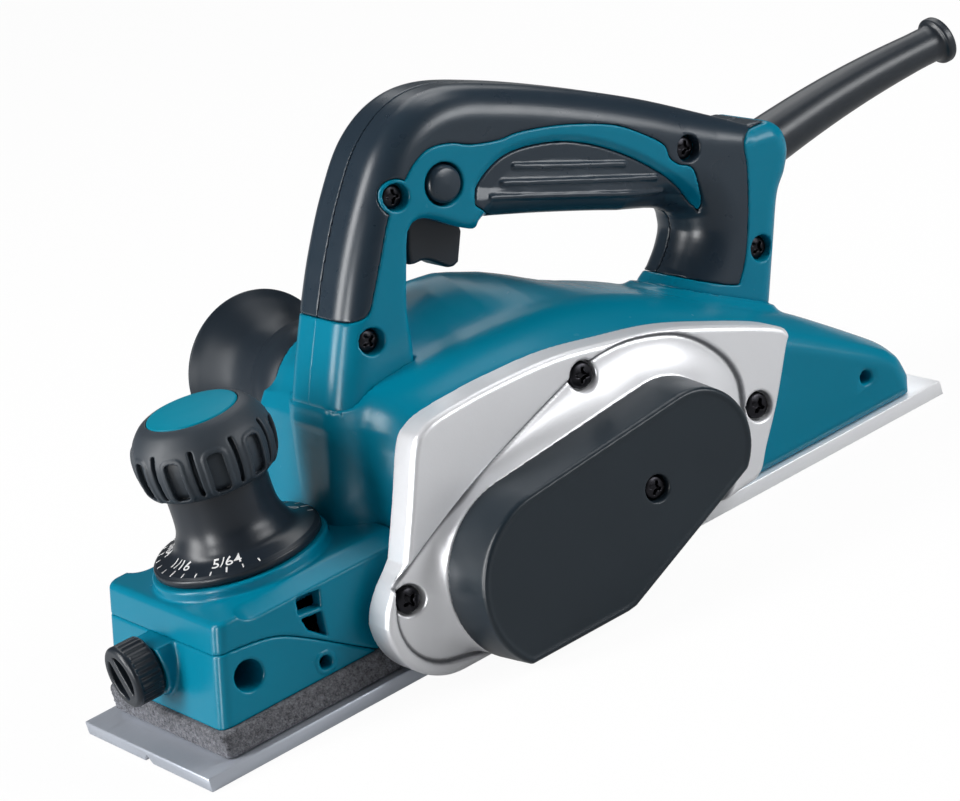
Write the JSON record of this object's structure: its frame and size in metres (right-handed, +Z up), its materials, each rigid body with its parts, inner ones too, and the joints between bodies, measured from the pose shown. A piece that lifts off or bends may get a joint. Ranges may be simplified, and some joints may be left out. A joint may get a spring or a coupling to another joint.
{
  "type": "electric hand planer",
  "caption": "Electric hand planer with a closed rear handle, depth knob on the front block, belt-driven cutter drum, cast side frame, belt cover and flared chip outlet.",
  "frame": {"origin": "middle of the sole, on the rear base's lower face", "axes": "+X towards the cord end, -Y the belt side, +Z up from the sole"},
  "size_m": [0.3477, 0.156, 0.157],
  "materials": {
    "housing": "fine satin moulded plastic",
    "soft_grip": "matte moulded elastomer",
    "black_plastic": "matte moulded plastic",
    "outlet_plastic": "smooth dark plastic",
    "cover_black": "fine textured plastic",
    "guard_rubber": "smooth rubber",
    "belt_rubber": "ribbed belt",
    "cast_frame": "bead blasted casting",
    "base_metal": "machined casting",
    "drum_alloy": "turned",
    "steel": "plated",
    "black_steel": "blackened",
    "core_steel": "laminated",
    "copper": "enamelled wire",
    "brass": "bright",
    "carbon": "pressed carbon",
    "felt": "speckled foam"
  },
  "bodies": {
    "machine": {"rear_base": "base_metal", "base_screws": "steel", "foam_seal": "felt", "front_housing": "housing", "block_screws": "steel", "main_housing": "housing", "side_frame": "cast_frame", "frame_screws": "black_steel", "belt_cover": "cover_black", "belt_cover_screw": "black_steel", "handle_left": "housing", "handle_right": "housing", "grip_left": "soft_grip", "grip_right": "soft_grip", "handle_screws": "steel", "trigger_pin": "steel", "trigger_spring": "steel", "switch_body": "black_plastic", "chip_outlet": "outlet_plastic", "cord_guard": "guard_rubber", "cord_clamp": "black_plastic", "clamp_screws": "steel", "motor_cap": "housing", "motor_cap_screws": "steel", "stator": "core_steel", "field_coils": "copper", "fan_baffle": "black_plastic", "motor_bearings": "steel", "brush_holders": "brass", "carbon_brushes": "carbon", "brush_caps": "black_plastic", "drum_bearings": "steel", "drive_belt": "belt_rubber", "depth_spring": "steel"},
    "front_sole": {"front_base": "base_metal"},
    "depth_knob": {"scale_dial": "black_plastic", "knob_cap": "soft_grip", "knob_disc": "housing", "depth_screw": "steel"},
    "drum": {"cutter_drum": "drum_alloy", "drum_pulley": "steel", "drum_pulley_nut": "steel", "blades": "steel", "blade_clamps": "steel", "blade_bolts": "steel"},
    "rotor": {"armature_shaft": "steel", "armature_core": "core_steel", "armature_windings": "copper", "commutator": "copper", "fan": "black_plastic", "motor_pulley": "steel"},
    "trigger": {"trigger": "black_plastic"},
    "lock_button": {"lock_button": "soft_grip"},
    "thumb_screw": {"thumb_screw": "black_plastic"}
  },
  "joints": [
    {"name": "front_base_slide", "type": "slide", "parent": "machine", "child": "front_sole", "axis": [0, 0, 1], "range_m": [0, 0.0025], "deforming": ["foam_seal", "depth_spring"]},
    {"name": "depth_turn", "type": "hinge", "parent": "machine", "child": "depth_knob", "pos_m": [-0.092, 0, 0.06], "axis": [0, 0, -1], "range_deg": [0, 301]},
    {"name": "drum_spin", "type": "hinge", "parent": "machine", "child": "drum", "pos_m": [-0.036, 0, 0.024], "axis": [0, 1, 0], "continuous": true},
    {"name": "rotor_spin", "type": "hinge", "parent": "machine", "child": "rotor", "pos_m": [0.027, 0, 0.037], "axis": [0, 1, 0], "continuous": true},
    {"name": "trigger_pull", "type": "hinge", "parent": "machine", "child": "trigger", "pos_m": [-0.00109, 0, 0.12368], "axis": [0, -1, 0], "range_deg": [0, 7], "stiffness_Nm_per_rad": 0.5, "deforming": ["trigger_spring"]},
    {"name": "lock_push", "type": "slide", "parent": "machine", "child": "lock_button", "axis": [0, 1, 0], "range_m": [0, 0.0025], "stiffness_N_per_m": 200},
    {"name": "thumb_turn", "type": "hinge", "parent": "machine", "child": "thumb_screw", "pos_m": [-0.13, 0, 0.0285], "axis": [1, 0, 0], "range_deg": [0, 360]}
  ],
  "couplings": [
    {"joint": "rotor_spin", "follows": "drum_spin", "ratio": 1.6471},
    {"joint": "depth_turn", "follows": "front_base_slide", "rad_per_m": 2094.4}
  ]
}
